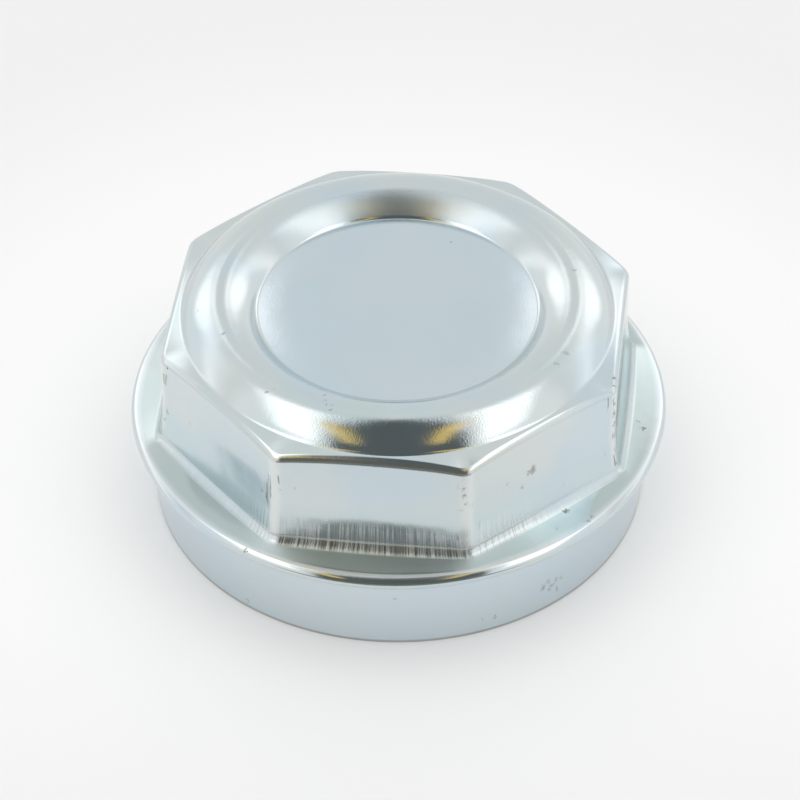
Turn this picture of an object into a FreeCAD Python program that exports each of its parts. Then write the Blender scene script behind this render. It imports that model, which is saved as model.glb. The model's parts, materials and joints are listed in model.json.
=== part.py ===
# Pressed steel centre cap, drawn from one sheet: a plain skirt that presses into a hub, a rim folded flat over
# the skirt, a flange that runs from round to eight-sided, a drafted eight-sided crown, and a domed ring round a
# flat centre. Millimetres, +Z up, origin in the middle of the open edge, one crown flat facing -Y.
import FreeCAD, Part

import math
import os

from FreeCAD import Vector

# Sheet. Bend radii are those on the inside of each bend, so the other side is one sheet larger.
sheet = 1.2

# Skirt and folded rim
skirt_radius = 50.0
skirt_height = 18.2
skirt_bend = 0.6
rim_overhang = 4.3
fold_gap = 0.3
fold_lead_deg = 11.0

# Flange, from the rim up to the foot of the crown
flange_rise = 1.3
corner_ledge = 3.1
foot_bend = 2.2

# Eight-sided crown, its height taken at the middle of a flat
crown_sides = 8
crown_height = 21.4
crown_draft_deg = 3.8
corner_bend = 2.3
shoulder_bend = 0.65

# Top: a land that falls away from the domed ring, and the flat centre inside the ring
land_width = 0.2
land_fall_deg = 14.0
ring_width = 15.6
ring_height = 3.9
centre_rise = 0.4
crease_bend = 0.6

# The folded rim: its outside is half a round, one sheet and half the gap in radius
fold_radius = sheet + fold_gap / 2
fold_centre = skirt_radius + rim_overhang - fold_radius
fold_level = skirt_height + fold_radius
fold_lead = math.radians(fold_lead_deg)

# The crown's foot, set by the ledge that the flange leaves at each corner
half_side = math.pi / crown_sides
draft = math.radians(crown_draft_deg)
corner_radius = corner_bend + sheet
flange_edge = fold_centre + fold_radius * math.sin(fold_lead)
flange_level = fold_level + fold_radius * math.cos(fold_lead)
foot_corner = flange_edge - corner_ledge
foot_apothem = (foot_corner - corner_radius) * math.cos(half_side) + corner_radius
foot_level = flange_level + flange_rise

# The ring's arc, and how far the crease at its outer foot reaches down the land
land_fall = math.radians(land_fall_deg)
ring_arc = ((ring_width / 2) ** 2 + ring_height ** 2) / (2 * ring_height)
crease_out = ring_width / 2 + crease_bend * math.sin(land_fall)
crease_up = ring_arc - ring_height + crease_bend * math.cos(land_fall)
crease_down_land = crease_out * math.cos(land_fall) - crease_up * math.sin(land_fall)
crease_spare = (ring_arc + crease_bend) ** 2 - crease_out ** 2 - crease_up ** 2
crease_reach = math.sqrt(crease_down_land ** 2 + crease_spare) - crease_down_land

# The ring's place, from the middle of the crown's shoulder inwards and up the land
shoulder_radius = shoulder_bend + sheet
shoulder_level = foot_level + crown_height
shoulder_apothem = foot_apothem - crown_height * math.tan(draft)
shoulder_setback = shoulder_radius * math.tan((math.pi / 2 - draft - land_fall) / 2)
land_run = shoulder_setback + land_width + crease_reach
ring_foot = shoulder_apothem - land_run * math.cos(land_fall)
ring_crest = ring_foot - ring_width / 2
ring_level = shoulder_level + land_run * math.sin(land_fall)
centre_level = ring_level + centre_rise


def at(radius, level):
    """A point of a profile in the XZ plane."""
    return Vector(radius, 0, level)


def on_arc(centre, radius, angle):
    """A point of a profile on an arc, its angle counted from straight up towards the outside."""
    return centre + Vector(radius * math.sin(angle), 0, radius * math.cos(angle))


def line(start, end):
    return Part.LineSegment(start, end).toShape()


def arc(start, middle, end):
    return Part.Arc(start, middle, end).toShape()


def turned(edges):
    """The solid that a closed profile sweeps round the cap's axis."""
    face = Part.Face(Part.Wire(edges))
    return face.revolve(Vector(0, 0, 0), Vector(0, 0, 1), 360)


def skirt_and_rim(inset, open_level):
    """Skirt, bend and folded rim as a full turned body, its skin moved in by inset."""
    bend_centre = at(skirt_radius + skirt_bend, skirt_height - skirt_bend)
    bend = skirt_bend + inset
    fold = at(fold_centre, fold_level)
    fold_skin = fold_radius - inset
    skirt_foot = at(skirt_radius - inset, open_level)
    bend_start = on_arc(bend_centre, bend, -math.pi / 2)
    bend_middle = on_arc(bend_centre, bend, -math.pi / 4)
    bend_end = on_arc(bend_centre, bend, 0)
    fold_start = on_arc(fold, fold_skin, math.pi)
    fold_middle = on_arc(fold, fold_skin, (math.pi + fold_lead) / 2)
    fold_end = on_arc(fold, fold_skin, fold_lead)
    axis_top = at(0, fold_end.z)
    axis_foot = at(0, open_level)
    return turned([line(axis_foot, skirt_foot), line(skirt_foot, bend_start), arc(bend_start, bend_middle, bend_end),
                   line(bend_end, fold_start), arc(fold_start, fold_middle, fold_end), line(fold_end, axis_top),
                   line(axis_top, axis_foot)])


def crown_outline(apothem, corner, level):
    """Edges of an outline with one flat for each side of the crown and a round at each corner."""
    half_flat = (apothem - corner) * math.tan(half_side)
    corner_centre = (apothem - corner) / math.cos(half_side)
    lift = Vector(0, 0, level)
    edges = []
    for side in range(crown_sides):
        facing = 2 * half_side * side - math.pi / 2
        out, nook, next_out = [Vector(math.cos(turn), math.sin(turn), 0)
                               for turn in (facing, facing + half_side, facing + 2 * half_side)]
        along = Vector(-out.y, out.x, 0)
        start = out * apothem - along * half_flat + lift
        end = out * apothem + along * half_flat + lift
        pivot = nook * corner_centre + lift
        edges += [line(start, end), arc(end, pivot + nook * corner, pivot + next_out * corner)]
    return edges


def round_outline(radius, level, flat_angle):
    """Edges of a circle, split flat_angle either side of the middle of each flat above it."""
    def point(angle):
        return Vector(radius * math.cos(angle), radius * math.sin(angle), level)
    edges = []
    for side in range(crown_sides):
        facing = 2 * half_side * side - math.pi / 2
        flat_end = facing + flat_angle
        corner = facing + half_side
        next_flat = facing + 2 * half_side - flat_angle
        edges += [arc(point(facing - flat_angle), point(facing), point(flat_end)),
                  arc(point(flat_end), point(corner), point(next_flat))]
    return edges


def side_wall(low, high):
    """Wall between an edge and the one above it: a plane between two straight edges, else a ruled surface."""
    if low.Curve.TypeId == high.Curve.TypeId == "Part::GeomLine":
        low_start, low_end = [vertex.Point for vertex in low.Vertexes]
        high_start, high_end = [vertex.Point for vertex in high.Vertexes]
        return Part.Face(Part.makePolygon([low_start, low_end, high_end, high_start, low_start]))
    return Part.makeRuledSurface(low, high)


def walled(low_edges, high_edges):
    """The solid between two outlines of as many edges, one wall to each pair."""
    walls = [side_wall(low, high) for low, high in zip(low_edges, high_edges)]
    ends = [Part.Face(Part.Wire(edges)) for edges in (low_edges, high_edges)]
    shell = Part.makeShell(walls + ends)
    shell.sewShape()
    solid = Part.makeSolid(shell)
    if solid.Volume < 0:
        solid.reverse()
    return solid


def crown_foot(inset):
    """Apothem and level of the corner between flange and crown, mitred inwards by inset."""
    slope = math.atan2(flange_rise, flange_edge - foot_apothem)
    wall_out, wall_up = math.cos(draft), math.sin(draft)
    flange_out, flange_up = math.sin(slope), math.cos(slope)
    mitre = inset / (1 + wall_out * flange_out + wall_up * flange_up)
    return foot_apothem - mitre * (wall_out + flange_out), foot_level - mitre * (wall_up + flange_up)


def flange_and_crown(inset):
    """Ruled flange from the rim's circle to the crown's foot, and the drafted crown on it up past the ring."""
    fold_skin = fold_radius - inset
    corner = corner_radius - inset
    apothem, level = crown_foot(inset)
    past_ring = ring_level + 2 * ring_height
    flat_angle = math.atan2((apothem - corner) * math.tan(half_side), apothem)
    rim_circle = round_outline(fold_centre + fold_skin * math.sin(fold_lead),
                               fold_level + fold_skin * math.cos(fold_lead), flat_angle)
    foot = crown_outline(apothem, corner, level)
    top = crown_outline(apothem - (past_ring - level) * math.tan(draft), corner, past_ring)
    return walled(rim_circle, foot).fuse(walled(foot, top))


def turned_top(inset):
    """The top as a turned body: flat centre, domed ring with a bend at each foot, and the land that falls away."""
    dome_centre = at(ring_crest, ring_level + ring_height - ring_arc)
    dome = ring_arc - inset
    crease = crease_bend + inset
    crease_gap = ring_arc + crease_bend
    land_up = Vector(math.sin(land_fall), 0, math.cos(land_fall))
    land_out = Vector(math.cos(land_fall), 0, -math.sin(land_fall))
    outer_crease = at(ring_foot, ring_level) + land_out * crease_reach + land_up * crease_bend
    outer_tilt = math.asin((outer_crease.x - dome_centre.x) / crease_gap)
    inner_tilt = -math.acos((centre_level + crease_bend - dome_centre.z) / crease_gap)
    inner_crease = on_arc(dome_centre, crease_gap, inner_tilt)
    outer_touch = on_arc(dome_centre, dome, outer_tilt)
    inner_touch = on_arc(dome_centre, dome, inner_tilt)
    land_start = outer_crease - land_up * crease
    centre_end = inner_crease - Vector(0, 0, crease)
    land_end = land_start + land_out * (flange_edge - ring_foot)
    axis_top = at(0, centre_end.z)
    axis_foot = at(0, skirt_height)
    edges = [line(axis_foot, axis_top), line(axis_top, centre_end)]
    edges += [arc(centre_end, on_arc(inner_crease, crease, math.pi + inner_tilt / 2), inner_touch)]
    edges += [arc(inner_touch, on_arc(dome_centre, dome, 0), outer_touch)]
    edges += [arc(outer_touch, on_arc(outer_crease, crease, math.pi + (outer_tilt + land_fall) / 2), land_start)]
    edges += [line(land_start, land_end), line(land_end, at(land_end.x, skirt_height))]
    edges += [line(at(land_end.x, skirt_height), axis_foot)]
    return turned(edges)


def edges_at(shape, level):
    """Edges that lie flat at one level."""
    def flat(edge):
        return all(abs(vertex.Z - level) < 1e-4 for vertex in edge.Vertexes)
    return [edge for edge in shape.Edges if flat(edge)]


def shoulder_edges(shape):
    """Edges where the crown's walls meet the land: outside the ring, round the crown and above its middle."""
    middle = foot_level + crown_height / 2
    def round_crown(edge):
        start, end = [edge.valueAt(turn) for turn in edge.ParameterRange]
        facing = [math.atan2(point.y, point.x) for point in (start, end)]
        outside = all(math.hypot(point.x, point.y) > ring_foot for point in (start, end))
        return outside and start.z > middle and end.z > middle and abs(facing[0] - facing[1]) > 1e-3
    return [edge for edge in shape.Edges if round_crown(edge)]


def skin(inset, open_level):
    """The full body bounded by the cap's skin: its outside at inset 0, its inside one sheet further in."""
    foot = crown_foot(inset)[1]
    body = flange_and_crown(inset)
    body = body.makeFillet(foot_bend + inset, edges_at(body, foot))
    body = body.common(turned_top(inset))
    body = body.makeFillet(shoulder_radius - inset, shoulder_edges(body))
    return body.fuse(skirt_and_rim(inset, open_level)).removeSplitter()


def cap_shell():
    """Outside less inside: the sheet, open at the skirt's edge."""
    past_the_edge = -sheet
    return skin(0, 0).cut(skin(sheet, past_the_edge))


os.makedirs("parts", exist_ok=True)
cap = cap_shell()
cap.exportStep("parts/cap_shell.step")
print("cap_shell", "solids", len(cap.Solids), "valid", cap.isValid(), "volume", round(cap.Volume, 1))
print("faces", len(cap.Faces), "crest", round(ring_level + ring_height, 2), "ring foot", round(ring_foot, 2))
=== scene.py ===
"""Centre cap drawn from one sheet of bright zinc-plated steel: its surface, its studio and its camera."""

import json
import math

import bpy
import numpy as np
from mathutils import Matrix, Vector
from mathutils.bvhtree import BVHTree


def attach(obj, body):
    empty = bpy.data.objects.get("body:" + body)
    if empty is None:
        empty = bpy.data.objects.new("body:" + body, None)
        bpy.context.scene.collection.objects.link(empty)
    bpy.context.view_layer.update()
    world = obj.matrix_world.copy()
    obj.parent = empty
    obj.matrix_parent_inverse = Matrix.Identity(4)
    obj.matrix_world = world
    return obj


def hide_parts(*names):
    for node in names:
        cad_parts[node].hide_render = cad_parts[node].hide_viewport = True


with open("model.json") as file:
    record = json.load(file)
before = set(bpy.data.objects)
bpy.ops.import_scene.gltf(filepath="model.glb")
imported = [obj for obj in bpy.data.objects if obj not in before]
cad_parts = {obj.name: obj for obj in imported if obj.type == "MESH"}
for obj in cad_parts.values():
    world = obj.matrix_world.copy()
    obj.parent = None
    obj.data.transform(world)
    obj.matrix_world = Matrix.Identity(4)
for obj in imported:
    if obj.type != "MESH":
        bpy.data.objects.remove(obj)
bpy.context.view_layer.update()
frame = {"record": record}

MM = 0.001
MICROMETRE = 0.000001
mounts = {mount["name"]: mount for mount in frame["record"]["mounts"]}

# Sheet, skirt and folded rim, in millimetres. Bend radii are those on the outer skin.
SHEET = 1.2
SKIRT_RADIUS = mounts["skirt"]["dims"]["r_mm"]
SKIRT_HEIGHT = mounts["rim_seat"]["pos_m"][2] / MM
SKIRT_BEND = 0.6
RIM_OVERHANG = 4.3
RIM_RADIUS = SKIRT_RADIUS + RIM_OVERHANG
FOLD_RADIUS = 1.35
FOLD_CENTRE = RIM_RADIUS - FOLD_RADIUS
FOLD_LEVEL = SKIRT_HEIGHT + FOLD_RADIUS
EDGE_BREAK = 0.12

# Eight-sided crown
SIDES = 8
HALF_SIDE = math.pi / SIDES
CORNER_RADIUS = 3.5
SHOULDER_BEND = 1.5
SHOULDER_APOTHEM = 45.0
SHOULDER_LEVEL = 43.45
DRAFT = math.radians(0.15)
FOOT_LEVEL = 21.8
FOOT_APOTHEM = SHOULDER_APOTHEM + (SHOULDER_LEVEL - FOOT_LEVEL) * math.tan(DRAFT)
FOOT_BEND = 1.7
FLARE = 1.75
FLARE_AT_CORNER = 1.3
FLARE_RISE = 11.0

# Land, domed ring and flat centre
LAND_FALL = math.radians(8.0)
LAND_FALL_AT_CORNER = math.radians(14.0)
RING_FOOT = 43.1
RING_WIDTH = 15.2
RING_HEIGHT = 4.1
RING_LEVEL = SHOULDER_LEVEL + (SHOULDER_APOTHEM - RING_FOOT) * math.tan(LAND_FALL)
RING_ARC = ((RING_WIDTH / 2) ** 2 + RING_HEIGHT ** 2) / (2 * RING_HEIGHT)
RING_CREST = RING_FOOT - RING_WIDTH / 2
RING_PIVOT = (RING_CREST, RING_LEVEL + RING_HEIGHT - RING_ARC)
CENTRE_RISE = 0.4
CENTRE_LEVEL = RING_LEVEL + CENTRE_RISE
CENTRE_RADIUS = RING_FOOT - RING_WIDTH
CENTRE_PILLOW = 0.6
CREASE_BEND = 0.9
INNER_FLANK = math.acos((CENTRE_LEVEL + CREASE_BEND - RING_PIVOT[1]) / (RING_ARC + CREASE_BEND))
RING_DROP = ((RING_FOOT - RING_PIVOT[0]) * math.sin(LAND_FALL)
             + (RING_LEVEL - RING_PIVOT[1]) * math.cos(LAND_FALL))
OUTER_FLANK = LAND_FALL + math.acos((CREASE_BEND + RING_DROP) / (RING_ARC + CREASE_BEND))

# Steps of the mesh: along each flat and corner, over each arc of the section and over each run between arcs.
# Both lists go from the centre out and down to the open edge, and back inside.
FLAT_STEPS = 32
CORNER_STEPS = 14
ARC_STEPS = [8, 32, 8, 12, 14, 12, 11, 6, 3, 3, 5, 4, 4, 6, 6, 5, 14, 5]
RUN_STEPS = [14, 0, 0, 5, 24, 9, 0, 3, 8, 1, 6, 2, 0, 4, 8, 3, 0, 0, 6]
OPEN_EDGE_STATION = 9

# Camera, fitted to the photograph's 800 pixel frame
CAMERA_LENS = 156.0
CAMERA_SENSOR = 36.0
CAMERA_AZIMUTH = math.radians(7.0)
CAMERA_ELEVATION = math.radians(41.63)
CAMERA_ROLL = math.radians(-0.55)
CAMERA_DISTANCE = 705.7
CAMERA_AIM_SIDE = 0.29
CAMERA_AIM_LEVEL = 19.32
PICTURE_SIZE = 800

# Zones of the outer skin by station: where each starts, is full, begins to fade and ends
ZONES = {
    "inner_slope": (1.2, 1.6, 1.89, 1.98),
    "shoulder": (3.80, 3.92, 4.16, 4.25),
    "wall": (4.0, 4.2, 4.76, 4.80),
    "lower_wall_tint_and_reflection": (4.50, 4.64, 4.76, 4.80),
    "scored_wall": (4.60, 4.69, 4.76, 4.80),
    "ridge": (4.738, 4.748, 4.768, 4.80),
    "foot": (4.75, 4.79, 5.14, 5.24),
    "flange": (5.0, 5.2, 5.6, 5.75),
    "rim_lip_highlight": (5.66, 5.70, 5.75, 5.80),
    "rim_top_highlight": (5.70, 5.76, 5.84, 5.92),
    "open_edge_shadow": (8.73, 8.74, 9.2, 9.25),
}
CENTRE_ZONE = (0.85, 0.7)
DOME_ZONE = (3.3, 3.0)
SKIRT_ZONE = (8.0, 8.3)

# The side that the die has worn most, as a direction. Cosines from it: where wear begins and is full, and
# where the far side does, on which the ring's inner slope is matte.
# The rim lip's painted highlight is kept to this side as well.
WORN_SIDE = (0.1, -0.995, 0)
WORN = (0.76, 0.93)
FAR_SIDE = (-0.55, -0.85)

# Colours of the plating, what tints it, and the painted highlights, reflections and shade marked below:
# share and colour, laid on in this order
BRIGHT_ZINC = {"Neutral": (0.665, 0.71, 0.712, 1), "Blue": (0.605, 0.695, 0.74, 1),
               "Green": (0.615, 0.70, 0.70, 1)}
DULL_ZINC = {"Neutral": (0.60, 0.62, 0.62, 1), "Blue": (0.56, 0.61, 0.64, 1),
             "Green": (0.58, 0.61, 0.59, 1)}
TINTS = {
    "skirt": (0.65, (0.645, 0.73, 0.785, 1)),
    "centre": (0.65, (0.61, 0.70, 0.765, 1)),
    # Partly the plating's bluer tint, partly painted reflection: the lower wall darkened like the dark
    # bluish reflection it shows.
    "lower_wall_tint_and_reflection": (0.6, (0.575, 0.685, 0.71, 1)),
    # Partly the plating's bluish tint, partly painted shade: the flange darkened to dim the bright light it
    # mirrors.
    "flange": (0.85, (0.51, 0.585, 0.58, 1)),
    # Painted highlight: the crown's rounded corners lightened into a soft bright band.
    "corner": (0.6, (0.80, 0.815, 0.81, 1)),
    "drawn": (0.9, (0.84, 0.86, 0.86, 1)),
    "brown": (0.6, (0.36, 0.33, 0.28, 1)),
    "ridge": (0.7, (0.82, 0.81, 0.76, 1)),
    # Painted highlight: a light line along the rim's lip, on the front side.
    "rim_lip_highlight": (0.7, (0.84, 0.85, 0.84, 1)),
    # Painted highlight: the rim fold's top lightened into a bright white line.
    "rim_top_highlight": (0.5, (0.86, 0.87, 0.87, 1)),
    "shoulder": (0.30, (0.58, 0.54, 0.44, 1)),
    # Painted contact shadow: the open edge darkened where the skirt stands on the floor.
    "open_edge_shadow": (0.6, (0.30, 0.29, 0.26, 1)),
    "scuff": (0.8, (0.19, 0.19, 0.17, 1)),
    "pit": (1.0, (0.19, 0.19, 0.17, 1)),
    "mark": (1.0, (0.17, 0.165, 0.14, 1)),
}

# Roughness of bare plating and what adds to it
PLATING_ROUGHNESS = 0.07
ROUGHENED = {"broad": 0.10, "drawn": 0.25, "ridge": 0.45, "rim_lip_highlight": 0.4, "rim_top_highlight": 0.08, "corner": 0.10,
             "pit": 0.2, "foot": 0.05, "worn_flange": 0.30, "shoulder": 0.06, "inner_slope": 0.2}

# Relief in micrometres: the grain's, by zone, that of the die's lines, and that of single features
PLATING_GRAIN = 4.0
GRAINED = {"dome": 13.0, "shoulder": 14.0}
SCORED = {"worn_wall": 70.0, "worn_foot": 55.0}
RAISED = {"swell": 34.0, "ridge": 25.0, "pit": -14.0, "scuff": -10.0}

# Marks of wear: the photograph's pixel across and down, radius in millimetres, depth of tone. Marks are
# longer in height than across, by one over the drop.
MARK_DROP = 0.55
MARKS = {
    "wall_smear": (533, 470, 0.9, 0.6),
    "wall_smear_tail": (529, 473, 0.6, 0.5),
    "wall_speck": (522, 487, 0.45, 0.7),
    "wall_speck_low": (508, 484, 0.3, 0.6),
    "wall_fleck": (563, 484, 0.3, 0.5),
    "flange_speck": (566, 511, 0.7, 0.9),
    "flange_fleck": (557, 529, 0.4, 0.6),
    "flange_right": (643, 429, 0.6, 0.8),
    "flange_right_up": (638, 421, 0.4, 0.7),
    "skirt_left": (248, 601, 0.4, 0.5),
    "skirt_middle": (394, 599, 0.4, 0.6),
    "skirt_low": (495, 617, 0.45, 0.7),
    "skirt_low_left": (482, 619, 0.4, 0.4),
    "smudge_a": (543, 588, 0.6, 0.5),
    "smudge_b": (548, 581, 0.55, 0.45),
    "smudge_c": (549, 590, 0.5, 0.5),
    "smudge_d": (556, 580, 0.55, 0.45),
    "smudge_e": (557, 589, 0.55, 0.45),
    "smudge_f": (552, 585, 0.5, 0.4),
    "smudge_g": (561, 577, 0.4, 0.4),
    "curl_a": (319, 389, 0.3, 0.6),
    "curl_b": (323, 390, 0.3, 0.6),
    "curl_c": (324, 395, 0.3, 0.6),
    "curl_d": (325, 400, 0.35, 0.7),
    "curl_e": (327, 405, 0.35, 0.7),
    "curl_f": (330, 410, 0.35, 0.8),
    "curl_g": (332, 405, 0.25, 0.5),
    "scratch_a": (266, 392, 0.35, 0.8),
    "scratch_b": (270, 390, 0.3, 0.7),
    "scratch_c": (274, 389, 0.25, 0.6),
    "front_speck": (295, 488, 0.35, 0.6),
    "corner_left_a": (262, 490, 0.4, 0.7),
    "corner_left_b": (266, 496, 0.4, 0.8),
    "corner_left_c": (268, 502, 0.4, 0.8),
    "corner_left_d": (267, 485, 0.3, 0.6),
    "corner_left_e": (280, 489, 0.25, 0.5),
    "wall_left_a": (167, 411, 0.6, 0.5),
    "wall_left_b": (165, 419, 0.5, 0.5),
    "wall_left_c": (190, 424, 0.35, 0.5),
    "corner_front_a": (463, 489, 0.4, 0.6),
    "corner_front_b": (464, 496, 0.45, 0.7),
    "corner_front_c": (466, 504, 0.4, 0.6),
    "corner_front_d": (462, 510, 0.35, 0.5),
    "corner_right_a": (614, 378, 0.5, 0.7),
    "corner_right_b": (614, 386, 0.5, 0.7),
    "corner_right_c": (615, 404, 0.5, 0.6),
    "corner_right_d": (614, 414, 0.6, 0.8),
    "corner_right_e": (614, 424, 0.5, 0.7),
    "corner_right_f": (614, 436, 0.5, 0.6),
    "corner_right_g": (615, 450, 0.5, 0.6),
    "corner_right_h": (615, 463, 0.6, 0.7),
    "ring_smear_a": (566, 353, 0.8, 0.25),
    "ring_smear_b": (556, 364, 0.7, 0.25),
    "ring_fleck": (575, 270, 0.5, 0.4),
    "rim_nick": (245, 551, 0.55, 0.9),
    "rim_rub_a": (588, 521, 0.6, 0.6),
    "rim_rub_b": (592, 517, 0.4, 0.5),
    "land_fleck": (223, 334, 0.4, 0.6),
    "ring_pit": (198, 311, 0.35, 0.4),
}

# Floor: its colours near the cap, painted lighter there to lift the cap's shadow, far from it, and in front,
# painted darker as shade, and the dark that the cap mirrors in front
FLOOR_REACH = 3.0
FLOOR_NEAR_PAINTED_LIGHT = (0.98, 0.98, 0.975, 1)
FLOOR_FAR = (0.85, 0.85, 0.85, 1)
FLOOR_FRONT_PAINTED_SHADE = (0.86, 0.86, 0.86, 1)
FLOOR_MIRRORED = (0.18, 0.19, 0.185, 1)

# Light tent: its colours and brightness
TENT_SEAM = (0.83, 0.85, 0.85, 1)
TENT_SIDE = (0.97, 0.98, 0.98, 1)
TENT_SHADE = (0.84, 0.86, 0.86, 1)
TENT_SHINE = (1.2, 1.2, 1.2, 1)
BACK_LAMP = (1.5, 1.5, 1.5, 1)
SEAM_LAMP = (1.35, 1.35, 1.35, 1)
CLOTH_LAMP = (1.7, 1.7, 1.7, 1)
GAP_ABOVE = (0.11, 0.125, 0.13, 1)
GAP_BELOW = (0.15, 0.14, 0.11, 1)
WARM_STREAK = (1.0, 0.72, 0.24, 1)
PLAIN_WHITE = (1.0, 1.0, 1.0, 1)
MAP_EDGE = math.radians(135)


# Shape

def octagon_reach(angle):
    """Radius of an eight-sided outline over its apothem: one over the cosine of the angle from the nearest
    flat's middle, and at each corner the far side of a circle set back along the corner's own direction."""
    corner = CORNER_RADIUS / FOOT_APOTHEM
    pivot = (1 - corner) / math.cos(HALF_SIDE)
    from_flat = np.abs(angle_from_flat(angle))
    from_corner = HALF_SIDE - from_flat
    inside = np.maximum(corner ** 2 - (pivot * np.sin(from_corner)) ** 2, 0)
    bent = pivot * np.cos(from_corner) + np.sqrt(inside)
    return np.where(from_flat < flat_end(), 1 / np.cos(from_flat), bent)


def flat_end():
    """Angle from a flat's middle to where its rounded corner starts."""
    return math.atan((1 - CORNER_RADIUS / FOOT_APOTHEM) * math.tan(HALF_SIDE))


def angle_from_flat(angle):
    """Angle from the middle of the nearest flat, one flat facing -Y."""
    return (angle + math.pi / 2 + HALF_SIDE) % (2 * HALF_SIDE) - HALF_SIDE


def columns():
    """Angles round the cap: each flat is crowded towards its ends by a sine, each corner is even."""
    flat = flat_end() * np.sin(np.linspace(-math.pi / 2, math.pi / 2, FLAT_STEPS, endpoint=False))
    corner = np.linspace(flat_end(), 2 * HALF_SIDE - flat_end(), CORNER_STEPS, endpoint=False)
    side = np.concatenate([flat, corner])
    turns = 2 * HALF_SIDE * np.arange(SIDES) - math.pi / 2
    return (turns[:, None] + side).ravel()


def cross(a, b):
    """Signed area that two flat directions span."""
    return a[..., 0] * b[..., 1] - a[..., 1] * b[..., 0]


def meet(point_a, along_a, point_b, along_b):
    """Where two lines of a section cross, each given by a point and a direction."""
    reach = cross(point_b - point_a, along_b) / cross(along_a, along_b)
    return point_a + reach[..., None] * along_a


def outer_corners(angle):
    """Sharp corners of the outer skin's section at each angle, from the axis out and down to the open edge:
    centre, inner crease, ring, outer crease, shoulder, foot, two of the rim, skirt bend and open edge."""
    count = len(angle)

    def spread(radius, level):
        return np.stack(np.broadcast_arrays(radius, level, np.zeros(count))[:2], -1).astype(float)

    def touching(tilt):
        radius = RING_PIVOT[0] + RING_ARC * math.sin(tilt)
        level = RING_PIVOT[1] + RING_ARC * math.cos(tilt)
        return spread(radius, level), spread(math.cos(tilt), -math.sin(tilt))

    reach = octagon_reach(angle)
    to_corner = (reach - 1) / (reach.max() - 1)
    fall = LAND_FALL + (LAND_FALL_AT_CORNER - LAND_FALL) * to_corner
    flat_out, level_out = spread(0, CENTRE_LEVEL), spread(1, 0)
    land, land_out = spread(RING_FOOT, RING_LEVEL), spread(np.cos(fall), -np.sin(fall))
    foot, wall_up = spread(reach * FOOT_APOTHEM, FOOT_LEVEL), spread(-reach * math.tan(DRAFT), 1)
    inner_flank, outer_flank = touching(-INNER_FLANK), touching(OUTER_FLANK)
    to_fold = spread(FOLD_CENTRE, FOLD_LEVEL) - foot
    tilt = np.arctan2(to_fold[:, 1], to_fold[:, 0]) + np.arcsin(FOLD_RADIUS / np.hypot(*to_fold.T))
    flange_out = np.stack([np.cos(tilt), np.sin(tilt)], -1)
    rim, straight_down = spread(RIM_RADIUS, FOLD_LEVEL), spread(0, -1)
    return np.stack([
        flat_out,
        meet(flat_out, level_out, *inner_flank),
        meet(*inner_flank, *outer_flank),
        meet(*outer_flank, land, land_out),
        meet(land, land_out, foot, wall_up),
        foot,
        meet(foot, flange_out, rim, straight_down),
        spread(RIM_RADIUS, SKIRT_HEIGHT),
        spread(SKIRT_RADIUS, SKIRT_HEIGHT),
        spread(SKIRT_RADIUS, 0),
    ])


def runs_along(corners):
    """Unit direction from each corner to the next."""
    step = np.diff(corners, axis=0)
    return step / np.linalg.norm(step, axis=-1, keepdims=True)


def moved_in(corners, depth):
    """The same chain one sheet deeper: every run moved to its right by the depth and met with the next."""
    along = runs_along(corners)
    right = np.stack([along[..., 1], -along[..., 0]], -1)
    moved = corners[:-1] + depth * right
    middle = meet(moved[:-1], along[:-1], moved[1:], along[1:])
    last = moved[-1] + (corners[-1] - corners[-2])
    return np.concatenate([moved[:1], middle, last[None]])


def rounded(corners, rounds):
    """Points along a chain of runs with an arc at each inner corner, tangent to both of its runs, and each
    point's station: a corner's own number in the middle of its arc, a quarter either side at its ends."""
    along = runs_along(corners)
    points, stations = [corners[:1]], [np.zeros(1)]
    left, left_station = corners[0], 0.0
    for number, (bend, steps, run) in enumerate(zip(rounds, ARC_STEPS, RUN_STEPS), start=1):
        before, after = along[number - 1], along[number]
        turn = np.arctan2(cross(before, after), np.sum(before * after, -1))
        size = np.abs(turn)
        set_back = bend * np.tan(size / 2)
        start = corners[number] - set_back[:, None] * before
        side = np.sign(turn)[:, None] * np.stack([-before[:, 1], before[:, 0]], -1)
        share = crowded(run)
        points.append(left + share[:, None, None] * (start - left))
        stations.append(left_station + share * (number - 0.25 - left_station))
        swing = np.linspace(0, 1, steps)[1 if run == 0 else 0:]
        sweep = swing[:, None] * size
        forward = np.sin(sweep)[..., None] * before
        sideways = (1 - np.cos(sweep))[..., None] * side
        points.append(start + bend * (forward + sideways))
        stations.append(number - 0.25 + 0.5 * swing)
        left, left_station = corners[number] + set_back[:, None] * after, number + 0.25
    share = crowded(RUN_STEPS[-1])
    points += [left + share[:, None, None] * (corners[-1] - left), corners[-1:]]
    stations += [left_station + share * (len(corners) - 1 - left_station), np.full(1, len(corners) - 1.0)]
    return np.concatenate(points), np.concatenate(stations)


def crowded(steps):
    """Shares of a run between its ends, crowded towards both by a cosine."""
    return 0.5 - 0.5 * np.cos(math.pi * np.arange(1, steps + 1) / (steps + 1))


def foot_flare(angle, radius, level):
    """How far the drawn wall leans out over its foot: most in the middle of a flat, least at a corner,
    falling by a square over the lower wall and evenly outwards over the flange. None within the ring."""
    across = angle_from_flat(angle) / HALF_SIDE
    bow = FLARE_AT_CORNER + (FLARE - FLARE_AT_CORNER) * (1 - across ** 2)
    foot = FOOT_APOTHEM * octagon_reach(angle)
    wall = np.clip(1 - (level - FOOT_LEVEL) / FLARE_RISE, 0, 1) ** 2
    flange = np.clip((FOLD_CENTRE - radius) / (FOLD_CENTRE - foot), 0, 1)
    return bow * wall * flange * (level > FOLD_LEVEL - SHEET) * (radius > RING_FOOT)


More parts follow.
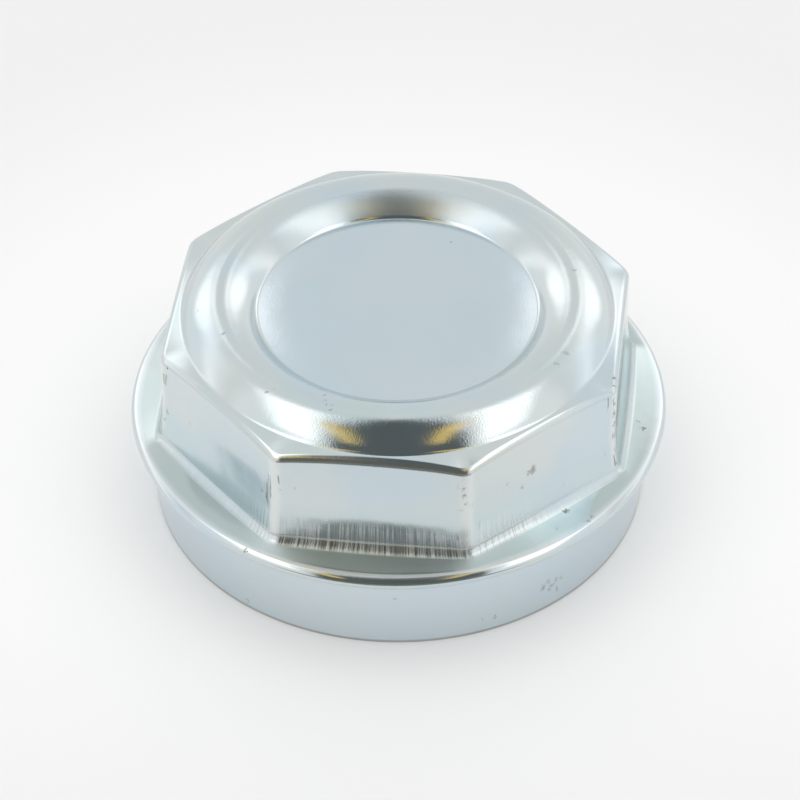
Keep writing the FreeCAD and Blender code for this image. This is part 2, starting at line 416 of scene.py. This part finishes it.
def centre_pillow(radius):
    """How far the flat centre stands proud: one less the sixth power of the radius over the crease's, so
    that it is flat in the middle and falls towards the crease."""
    return CENTRE_PILLOW * np.clip(1 - (radius / CENTRE_RADIUS) ** 6, 0, 1)


def cap_section(angle):
    """Closed section at each angle: the outer skin down to the open edge, the inner one back to the axis."""
    outer = outer_corners(angle)
    inner = moved_in(outer, SHEET)
    outer_rounds = np.array([CREASE_BEND, RING_ARC, CREASE_BEND, SHOULDER_BEND, FOOT_BEND, FOLD_RADIUS,
                             FOLD_RADIUS, SKIRT_BEND])
    along = runs_along(outer)
    inward = np.sign(cross(along[:-1], along[1:]).mean(-1))
    inner_rounds = outer_rounds + SHEET * inward
    corners = np.concatenate([outer, inner[::-1]])
    rounds = np.concatenate([outer_rounds, [EDGE_BREAK, EDGE_BREAK], inner_rounds[::-1]])
    points, stations = rounded(corners, rounds)
    points[..., 0] += foot_flare(angle, points[..., 0], points[..., 1])
    points[..., 1] += centre_pillow(points[..., 0])
    return points, stations


def cap_mesh(name):
    """Turns the section round the axis: (radius cos, radius sin, level), with one vertex at each pole."""
    angle = columns()
    section, stations = cap_section(angle)
    radius, level = section[1:-1, :, 0], section[1:-1, :, 1]
    grid = np.stack([radius * np.cos(angle), radius * np.sin(angle), level], -1)
    top, under = [0, 0, section[0, 0, 1]], [0, 0, section[-1, 0, 1]]
    rows, count = radius.shape
    vertices = np.concatenate([[top], grid.reshape(-1, 3), [under]]) * MM
    index = 1 + np.arange(rows * count).reshape(rows, count)
    beside = np.roll(index, -1, axis=1)
    quads = np.stack([index[:-1], index[1:], beside[1:], beside[:-1]], -1).reshape(-1, 4)
    first = np.stack([np.zeros(count, int), index[0], beside[0]], -1)
    last = np.stack([np.full(count, rows * count + 1), beside[-1], index[-1]], -1)
    mesh = bpy.data.meshes.new(name)
    mesh.from_pydata(vertices.tolist(), [], first.tolist() + quads.tolist() + last.tolist())
    mesh.polygons.foreach_set("use_smooth", np.ones(len(mesh.polygons), bool))
    inside = np.repeat(stations[1:-2] > OPEN_EDGE_STATION + 1, count)
    slots = np.concatenate([np.zeros(count), inside, np.ones(count)]).astype(np.int32)
    mesh.polygons.foreach_set("material_index", slots)
    station = np.concatenate([stations[:1], np.repeat(stations[1:-1], count), stations[-1:]])
    across = np.abs(angle_from_flat(angle)) / HALF_SIDE
    set_attribute(mesh, "station", station)
    set_attribute(mesh, "across", np.concatenate([[0], np.tile(across, rows), [0]]))
    mesh.update()
    return mesh


def set_attribute(mesh, name, values):
    """Gives every vertex a value that materials can read."""
    attribute = mesh.attributes.new(name, "FLOAT", "POINT")
    attribute.data.foreach_set("value", np.asarray(values, np.float32))


# Shader tools

def add(tree, kind, inputs=None, **settings):
    """A shader node with its settings made, and its inputs set to values or linked from sockets."""
    node = tree.nodes.new("ShaderNode" + kind)
    for name, value in settings.items():
        setattr(node, name, value)
    for name, value in (inputs or {}).items():
        fill(tree, node.inputs[name], value)
    return node


def fill(tree, socket, value):
    """Links another node's socket into this one, or sets it to a plain value."""
    if isinstance(value, bpy.types.NodeSocket):
        tree.links.new(value, socket)
    else:
        socket.default_value = value


def calc(tree, operation, first, second=0.0, third=0.0):
    return add(tree, "Math", {0: first, 1: second, 2: third}, operation=operation).outputs[0]


def product(tree, first, *others):
    for other in others:
        first = calc(tree, "MULTIPLY", first, other)
    return first


def total(tree, *terms):
    """Sum of values, each given with its weight."""
    result = calc(tree, "MULTIPLY", *terms[0])
    for value, weight in terms[1:]:
        result = calc(tree, "MULTIPLY_ADD", value, weight, result)
    return result


def vector(tree, operation, first, second=(0, 0, 0), third=(0, 0, 0)):
    """A vector worked out from vectors."""
    return add(tree, "VectorMath", {0: first, 1: second, 2: third}, operation=operation).outputs["Vector"]


def between(tree, value, low, high):
    """Rises smoothly from 0 at low to 1 at high, or falls where low is the larger."""
    return add(tree, "MapRange", {"Value": value, "From Min": low, "From Max": high},
               interpolation_type="SMOOTHSTEP").outputs["Result"]


def band(tree, value, start, full, fade, end):
    """Rises from start to full, holds, and falls from fade to end."""
    return product(tree, between(tree, value, start, full), between(tree, value, end, fade))


def blend_colour(tree, share, first, second):
    """From the first colour to the second as the share goes from 0 to 1."""
    mix = add(tree, "Mix", data_type="RGBA")
    colours = [socket for socket in mix.inputs if socket.type == "RGBA"]
    for socket, value in zip((mix.inputs[0], *colours), (share, first, second)):
        fill(tree, socket, value)
    return next(socket for socket in mix.outputs if socket.type == "RGBA")


def blend_value(tree, share, first, second):
    """From the first value to the second as the share goes from 0 to 1."""
    return calc(tree, "MULTIPLY_ADD", share, calc(tree, "SUBTRACT", second, first), first)


def effect_group(name, inputs, outputs):
    """An empty shader group; inputs and outputs map each socket's name to its kind."""
    group = bpy.data.node_groups.new(name, "ShaderNodeTree")
    for in_out, sockets in (("INPUT", inputs), ("OUTPUT", outputs)):
        for socket, kind in sockets.items():
            group.interface.new_socket(socket, in_out=in_out, socket_type="NodeSocket" + kind)
    entry = group.nodes.new("NodeGroupInput")
    leave = group.nodes.new("NodeGroupOutput")
    return group, entry.outputs, leave.inputs


def place_group(tree, group, inputs):
    """A group set into a material with its own values; gives its outputs."""
    return add(tree, "Group", inputs, node_tree=group).outputs


def object_place(tree):
    return add(tree, "TexCoord").outputs["Object"]


def round_facing(tree):
    """The direction out from the axis, as a unit vector."""
    return vector(tree, "NORMALIZE", vector(tree, "MULTIPLY", object_place(tree), (1, 1, 0)))


def noise(tree, place, scale, detail, roughness=0.5):
    """Noise over a place: its value and its colour."""
    node = add(tree, "TexNoise", {"Vector": place, "Scale": scale, "Detail": detail,
                                  "Roughness": roughness})
    return node.outputs[0], node.outputs[1]


# Effects that the plating's materials share

def tint_group():
    """Passivated zinc's colour: broad patches that drift from neutral to pale blue and to sea green."""
    colours = {"Neutral": "Color", "Blue": "Color", "Green": "Color"}
    group, given, result = effect_group("zinc_tint", colours, {"Color": "Color"})
    place = object_place(group)
    broad = noise(group, place, 42, 2)[0]
    other = add(group, "TexNoise", {"Vector": place, "W": 3.7, "Scale": 65, "Detail": 2, "Roughness": 0.5},
                noise_dimensions="4D").outputs[0]
    bluish = blend_colour(group, between(group, broad, 0.40, 0.66), given["Neutral"], given["Blue"])
    tinted = blend_colour(group, between(group, other, 0.52, 0.75), bluish, given["Green"])
    group.links.new(tinted, result["Color"])
    return group


def grain_group():
    """Fine matte grain of the plating, as a height."""
    group, given, result = effect_group("plating_grain", {"Scale": "Float"}, {"Height": "Float"})
    group.links.new(noise(group, object_place(group), given["Scale"], 2, 0.6)[0], result["Height"])
    return group


def wave_group():
    """Slow unevenness of a pressed sheet, as a height."""
    group, given, result = effect_group("press_waves", {"Scale": "Float"}, {"Height": "Float"})
    group.links.new(noise(group, object_place(group), given["Scale"], 1, 0.4)[0], result["Height"])
    return group


def streak_group():
    """Streaks that the die leaves along the draw: noise that is fine round the axis and slow in height."""
    group, given, result = effect_group("draw_streaks", {"Fineness": "Float", "Length": "Float"},
                                        {"Value": "Float"})
    across = add(group, "VectorMath", {0: round_facing(group), "Scale": given["Fineness"]},
                 operation="SCALE")
    split = add(group, "SeparateXYZ", {"Vector": across.outputs["Vector"]}).outputs
    level = add(group, "SeparateXYZ", {"Vector": object_place(group)}).outputs["Z"]
    along = calc(group, "DIVIDE", level, given["Length"])
    line = add(group, "CombineXYZ", {"X": split["X"], "Y": split["Y"], "Z": along}).outputs[0]
    group.links.new(noise(group, line, 1, 2, 0.6)[0], result["Value"])
    return group


def speck_group():
    """Small dark pits: round cells, of which only a share holds a pit, with ragged edges."""
    sizes = {"Scale": "Float", "Size": "Float", "Share": "Float"}
    group, given, result = effect_group("plating_specks", sizes, {"Mask": "Float"})
    place = object_place(group)
    rag = 0.5 * MM
    ragged = vector(group, "MULTIPLY_ADD", noise(group, place, 3000, 2)[1], (rag, rag, rag), place)
    cell = add(group, "TexVoronoi", {"Vector": ragged, "Scale": given["Scale"]}).outputs
    pick = add(group, "SeparateColor", {"Color": cell["Color"]}).outputs
    chosen = calc(group, "LESS_THAN", pick[0], given["Share"])
    size = calc(group, "MULTIPLY", given["Size"], calc(group, "ADD", pick[1], 0.3))
    near = calc(group, "SUBTRACT", 1.0, calc(group, "DIVIDE", cell["Distance"], size))
    group.links.new(product(group, chosen, between(group, near, 0.0, 0.5)), result["Mask"])
    return group


def mark_group():
    """One mark round a centre: full inside four tenths of its radius, gone at the radius."""
    circle = {"Place": "Vector", "Centre": "Vector", "Radius": "Float"}
    group, given, result = effect_group("wear_mark", circle, {"Mask": "Float"})
    apart = add(group, "VectorMath", {0: given["Place"], 1: given["Centre"]}, operation="DISTANCE")
    share = calc(group, "DIVIDE", apart.outputs["Value"], given["Radius"])
    group.links.new(between(group, share, 1.0, 0.4), result["Mask"])
    return group


def all_marks(tree, mark, mesh):
    """The deepest of all marks at each point; noise pushes the point so that marks come out ragged."""
    place = object_place(tree)
    rag = 2.2 * MM
    push = vector(tree, "SUBTRACT", noise(tree, place, 2200, 2)[1], (0.5, 0.5, 0.5))
    ragged = vector(tree, "MULTIPLY_ADD", push, (rag, rag, rag), place)
    lower = Vector((1, 1, MARK_DROP))
    lowered = vector(tree, "MULTIPLY", ragged, lower)
    centres = cast_on(mesh, [values[:2] for values in MARKS.values()])
    sizes_and_tones = [values[2:] for values in MARKS.values()]
    deepest = 0.0
    for centre, (radius, tone) in zip(centres, sizes_and_tones):
        mask = place_group(tree, mark, {"Place": lowered, "Centre": centre * lower, "Radius": radius * MM})
        deepest = calc(tree, "MAXIMUM", deepest, calc(tree, "MULTIPLY", mask["Mask"], tone))
    return deepest


# Finish

def zinc_shader(name):
    material = bpy.data.materials.new(name)
    material.use_nodes = True
    tree = material.node_tree
    shader = tree.nodes["Principled BSDF"]
    shader.inputs["Metallic"].default_value = 1
    return material, tree, shader


def station_and_across(tree):
    return [add(tree, "Attribute", attribute_name=name).outputs["Fac"] for name in ("station", "across")]


def worn_zones(tree, station, across, fine, coarse, patch):
    """Masks of all zones of the outer skin, of what the die left there: bright drawn lines, brown ones
    between them and scuffs beside the corners, and of the crown's corners, lightened as a painted highlight.
    Worn zones are limited to the worn side."""
    frontal = add(tree, "VectorMath", {0: round_facing(tree), 1: WORN_SIDE}, operation="DOT_PRODUCT")
    worn = between(tree, frontal.outputs["Value"], *WORN)
    far_side = between(tree, frontal.outputs["Value"], *FAR_SIDE)
    zone = {name: band(tree, station, *limits) for name, limits in ZONES.items()}
    zone["centre"] = between(tree, station, *CENTRE_ZONE)
    zone["dome"] = between(tree, station, *DOME_ZONE)
    zone["skirt"] = between(tree, station, *SKIRT_ZONE)
    zone["inner_slope"] = product(tree, zone["inner_slope"], far_side)
    # The rim lip's light tint is a painted highlight; like the ridge and shoulder it stays on the worn side.
    for name in ("ridge", "rim_lip_highlight", "shoulder"):
        zone[name] = product(tree, zone[name], worn)
    zone["worn_flange"] = product(tree, zone["flange"], worn)
    zone["worn_foot"] = product(tree, zone["foot"], calc(tree, "MULTIPLY_ADD", worn, 0.9, 0.1))
    zone["worn_wall"] = product(tree, zone["scored_wall"], calc(tree, "MULTIPLY_ADD", worn, 0.95, 0.05))
    zone["lines"] = total(tree, (fine, 0.6), (coarse, 0.4))
    bright_line = between(tree, zone["lines"], 0.47, 0.56)
    dark_line = between(tree, zone["lines"], 0.46, 0.39)
    rubbed = total(tree, (zone["worn_wall"], 0.8), (zone["worn_foot"], 1.0))
    zone["drawn"] = product(tree, bright_line, rubbed)
    zone["brown"] = product(tree, dark_line, zone["foot"], worn)
    # Painted highlight on the crown's rounded corners.
    zone["corner"] = product(tree, zone["wall"], between(tree, across, 0.90, 0.965))
    zone["scuff"] = product(tree, zone["wall"], band(tree, across, 0.84, 0.89, 0.98, 1.0),
                            between(tree, coarse, 0.56, 0.66), between(tree, patch, 0.50, 0.60))
    return zone


def bright_zinc(mesh, tint, grain, waves, streaks, specks, mark):
    """The outer skin: bright plating, scored by the die low on the walls and over their foot."""
    material, tree, shader = zinc_shader("bright_zinc")
    station, across = station_and_across(tree)
    fine = place_group(tree, streaks, {"Fineness": 175.0, "Length": 0.060})["Value"]
    coarse = place_group(tree, streaks, {"Fineness": 75.0, "Length": 0.012})["Value"]
    patch = place_group(tree, waves, {"Scale": 260.0})["Height"]
    zone = worn_zones(tree, station, across, fine, coarse, patch)
    zone["pit"] = place_group(tree, specks, {"Scale": 115.0, "Size": 0.045, "Share": 0.14})["Mask"]
    zone["mark"] = all_marks(tree, mark, mesh)
    zone["broad"] = place_group(tree, waves, {"Scale": 90.0})["Height"]
    zone["swell"] = place_group(tree, waves, {"Scale": 190.0})["Height"]

    colour = place_group(tree, tint, BRIGHT_ZINC)["Color"]
    for name, (share, shade) in TINTS.items():
        colour = blend_colour(tree, calc(tree, "MULTIPLY", zone[name], share), colour, shade)
    tree.links.new(colour, shader.inputs["Base Color"])

    def weighed(weights):
        return [(zone[name], weight) for name, weight in weights.items()]

    tree.links.new(total(tree, *weighed(ROUGHENED), (1.0, PLATING_ROUGHNESS)), shader.inputs["Roughness"])
    texture = place_group(tree, grain, {"Scale": 2900.0})["Height"]
    grained = total(tree, *weighed(GRAINED), (1.0, PLATING_GRAIN))
    scored = total(tree, *weighed(SCORED))
    height = total(tree, (texture, grained), (zone["lines"], scored), *weighed(RAISED))
    add_bump(tree, shader, height)
    return material


def dull_zinc(tint, grain, waves):
    """The inner skin, which no die has polished."""
    material, tree, shader = zinc_shader("dull_zinc")
    tree.links.new(place_group(tree, tint, DULL_ZINC)["Color"], shader.inputs["Base Color"])
    patch = place_group(tree, waves, {"Scale": 90.0})["Height"]
    tree.links.new(total(tree, (patch, 0.3), (1.0, 0.2)), shader.inputs["Roughness"])
    texture = place_group(tree, grain, {"Scale": 2600.0})["Height"]
    swell = place_group(tree, waves, {"Scale": 160.0})["Height"]
    add_bump(tree, shader, total(tree, (texture, 9.0), (swell, 40.0)))
    return material


def add_bump(tree, shader, height):
    """Relief by a height in micrometres."""
    bump = add(tree, "Bump", {"Height": height, "Strength": 1.0, "Distance": MICROMETRE})
    tree.links.new(bump.outputs["Normal"], shader.inputs["Normal"])


# Studio

def aim_frame(azimuth, elevation):
    """Unit vectors right, up and back of something that looks at the cap from an azimuth and elevation."""
    back = Vector((math.sin(azimuth) * math.cos(elevation), -math.cos(azimuth) * math.cos(elevation),
                   math.sin(elevation)))
    right = Vector((math.cos(azimuth), math.sin(azimuth), 0))
    return right, back.cross(right), back


def placed(obj, right, up, back, place):
    obj.matrix_world = Matrix.Translation(place) @ Matrix((right, up, back)).transposed().to_4x4()
    bpy.context.scene.collection.objects.link(obj)
    return obj


def camera_frame():
    """The camera's unit vectors right, up and back with its roll, and its place."""
    right, up, back = aim_frame(CAMERA_AZIMUTH, CAMERA_ELEVATION)
    aim = (CAMERA_AIM_SIDE * right + Vector((0, 0, CAMERA_AIM_LEVEL))) * MM
    turn = Matrix.Rotation(CAMERA_ROLL, 3, back)
    return turn @ right, turn @ up, back, aim + back * CAMERA_DISTANCE * MM


def make_camera():
    lens = bpy.data.cameras.new("camera")
    lens.sensor_width = CAMERA_SENSOR
    lens.lens = CAMERA_LENS
    camera = bpy.data.objects.new("camera", lens)
    bpy.context.scene.camera = placed(camera, *camera_frame())


def cast_on(mesh, pixels):
    """Points of a mesh that the camera shows at given pixels."""
    right, up, back, eye = camera_frame()
    tree = BVHTree.FromPolygons([v.co for v in mesh.vertices], [p.vertices for p in mesh.polygons])
    scale = CAMERA_SENSOR / CAMERA_LENS / PICTURE_SIZE
    half = PICTURE_SIZE / 2
    rays = [(across - half) * scale * right + (half - down) * scale * up - back for across, down in pixels]
    return [tree.ray_cast(eye, ray.normalized())[0] for ray in rays]


def softbox(name, azimuth, elevation, distance, width, height, brightness):
    """A rectangular lamp that faces the cap. It lights the floor; the cap mirrors the tent in its place."""
    light = bpy.data.lights.new(name, "AREA")
    light.shape = "RECTANGLE"
    light.size = width
    light.size_y = height
    light.energy = brightness * math.pi * width * height
    lamp = bpy.data.objects.new(name, light)
    right, up, back = aim_frame(CAMERA_AZIMUTH + math.radians(azimuth), math.radians(elevation))
    lamp.visible_camera = False
    lamp.visible_glossy = False
    return placed(lamp, right, up, back, back * distance)


def seen_from_camera(tree, direction):
    """A place or direction turned about the axis, so that its Y points away from the camera."""
    turned = add(tree, "VectorRotate", {"Vector": direction, "Angle": -CAMERA_AZIMUTH},
                 rotation_type="Z_AXIS")
    return turned.outputs[0]


def make_floor():
    """A pale floor, painted lighter near the cap to lift the cap's shadow and darker in front as painted
    shade; for the cap's mirror alone it ends in front, where the tent opens on a dark room.
    """
    mesh = bpy.data.meshes.new("floor")
    sides = ((-1, -1), (1, -1), (1, 1), (-1, 1))
    mesh.from_pydata([(x * FLOOR_REACH, y * FLOOR_REACH, 0) for x, y in sides], [], [(0, 1, 2, 3)])
    floor = bpy.data.objects.new("floor", mesh)
    bpy.context.scene.collection.objects.link(floor)
    material = bpy.data.materials.new("pale_floor")
    material.use_nodes = True
    tree = material.node_tree
    shader = tree.nodes["Principled BSDF"]
    place = seen_from_camera(tree, object_place(tree))
    split = add(tree, "SeparateXYZ", {"Vector": place}).outputs
    sideways = calc(tree, "MULTIPLY_ADD", split["Y"], 0.5, calc(tree, "ABSOLUTE", split["X"]))
    front = product(tree, between(tree, split["Y"], -0.094, -0.106), between(tree, sideways, 0.06, 0.02))
    mirrored = product(tree, front, add(tree, "LightPath").outputs["Is Glossy Ray"])
    away = add(tree, "VectorMath", {0: place}, operation="LENGTH").outputs["Value"]
    # Painted light: the floor lighter near the cap, lifting the cap's shadow.
    colour = blend_colour(tree, between(tree, away, 0.06, 0.17), FLOOR_NEAR_PAINTED_LIGHT, FLOOR_FAR)
    # Painted shade: the floor darker towards the front.
    colour = blend_colour(tree, between(tree, split["Y"], -0.02, -0.13), colour, FLOOR_FRONT_PAINTED_SHADE)
    colour = blend_colour(tree, mirrored, colour, FLOOR_MIRRORED)
    tree.links.new(colour, shader.inputs["Base Color"])
    shader.inputs["Roughness"].default_value = 0.9
    mesh.materials.append(material)


def dome_place(tree):
    """Where the world's direction lies on a flat map of the sky: zero overhead, growing evenly with the
    angle from there to 1 at the map's edge. Gives the distance from overhead, how far right and how far
    towards the camera."""
    direction = seen_from_camera(tree, add(tree, "TexCoord").outputs["Generated"])
    split = add(tree, "SeparateXYZ", {"Vector": direction}).outputs
    flat = add(tree, "CombineXYZ", {"X": split["X"], "Y": split["Y"]}).outputs[0]
    length = add(tree, "VectorMath", {0: flat}, operation="LENGTH").outputs["Value"]
    far = calc(tree, "DIVIDE", calc(tree, "ARCCOSINE", split["Z"]), MAP_EDGE)
    scale = calc(tree, "DIVIDE", far, calc(tree, "MAXIMUM", length, 0.0001))
    return far, product(tree, split["X"], scale), product(tree, split["Y"], scale, -1)


def oval(tree, aside, ahead, centre, half, outer, inner):
    """A soft oval on the map of the sky: the sum of both squared distances from its centre, over its half
    sizes, is at most inner where it is full and outer where it ends."""
    squares = [calc(tree, "POWER", calc(tree, "DIVIDE", calc(tree, "SUBTRACT", value, middle), size), 2.0)
               for value, middle, size in zip((aside, ahead), centre, half)]
    return between(tree, calc(tree, "ADD", *squares), outer, inner)


def make_world():
    """A white light tent: two bright cloths meet in a seam behind and part towards the camera, where a dark
    gap with a warm streak on either side widens between them; folds run out from the seam. Only the cap's
    mirror shows the tent: the camera and the floor see it plain white."""
    world = bpy.data.worlds.new("light_tent")
    world.use_nodes = True
    tree = world.node_tree
    far, right, ahead = dome_place(tree)
    aside = calc(tree, "ABSOLUTE", right)
    past_gap = calc(tree, "SUBTRACT", aside, calc(tree, "MULTIPLY_ADD", ahead, 0.45, 0.105))
    fold = calc(tree, "SUBTRACT", ahead, calc(tree, "MULTIPLY", aside, 0.5))
    outward = calc(tree, "SUBTRACT", aside, calc(tree, "MULTIPLY", ahead, 0.6))
    cloth_lit = product(tree, between(tree, past_gap, 0.02, 0.06), between(tree, outward, 0.32, 0.25),
                        between(tree, ahead, -0.19, -0.11), between(tree, far, 0.49, 0.42))
    back_lit = oval(tree, aside, ahead, (0.24, -0.38), (0.12, 0.065), 1.9, 0.3)
    seam_lit = oval(tree, aside, ahead, (0.09, -0.365), (0.03, 0.04), 1.6, 0.3)
    shade = band(tree, fold, -0.33, -0.29, -0.27, -0.22)
    shine = product(tree, band(tree, fold, -0.49, -0.43, -0.39, -0.35), between(tree, aside, 0.15, 0.28))
    gap = product(tree, between(tree, past_gap, 0.0, -0.03), between(tree, ahead, -0.225, -0.175))
    left_streak = calc(tree, "MULTIPLY_ADD", ahead, 0.10, 0.125)
    right_streak = calc(tree, "MULTIPLY_ADD", ahead, 0.05, 0.105)
    streak_aside = blend_value(tree, between(tree, right, -0.05, 0.05), left_streak, right_streak)
    past_streak = calc(tree, "SUBTRACT", aside, streak_aside)
    streak = product(tree, band(tree, past_streak, -0.03, -0.01, 0.01, 0.035),
                     band(tree, ahead, -0.04, 0.06, 0.28, 0.36))
    gap_colour = blend_colour(tree, between(tree, ahead, 0.35, 0.55), GAP_ABOVE, GAP_BELOW)
    colour = blend_colour(tree, between(tree, aside, 0.08, 0.36), TENT_SEAM, TENT_SIDE)
    for share, shown in ((shade, TENT_SHADE), (shine, TENT_SHINE), (back_lit, BACK_LAMP),
                         (seam_lit, SEAM_LAMP), (cloth_lit, CLOTH_LAMP), (gap, gap_colour),
                         (streak, WARM_STREAK)):
        colour = blend_colour(tree, share, colour, shown)
    mirrored = add(tree, "LightPath").outputs["Is Glossy Ray"]
    colour = blend_colour(tree, mirrored, PLAIN_WHITE, colour)
    tree.links.new(colour, tree.nodes["Background"].inputs["Color"])
    bpy.context.scene.world = world


cap = bpy.data.objects.new("pressed_cap", cap_mesh("pressed_cap"))
bpy.context.scene.collection.objects.link(cap)
plating = tint_group(), grain_group(), wave_group()
wear = streak_group(), speck_group(), mark_group()
cap.data.materials.append(bright_zinc(cap.data, *plating, *wear))
cap.data.materials.append(dull_zinc(*plating))
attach(cap, "root")
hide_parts("cap_shell")

make_floor()
make_world()
softbox("left_softbox", azimuth=-60, elevation=48, distance=0.8, width=0.56, height=0.60, brightness=0.25)
softbox("right_softbox", azimuth=62, elevation=48, distance=0.8, width=0.52, height=0.60, brightness=0.25)
make_camera()
bpy.context.scene.view_settings.view_transform = "Standard"
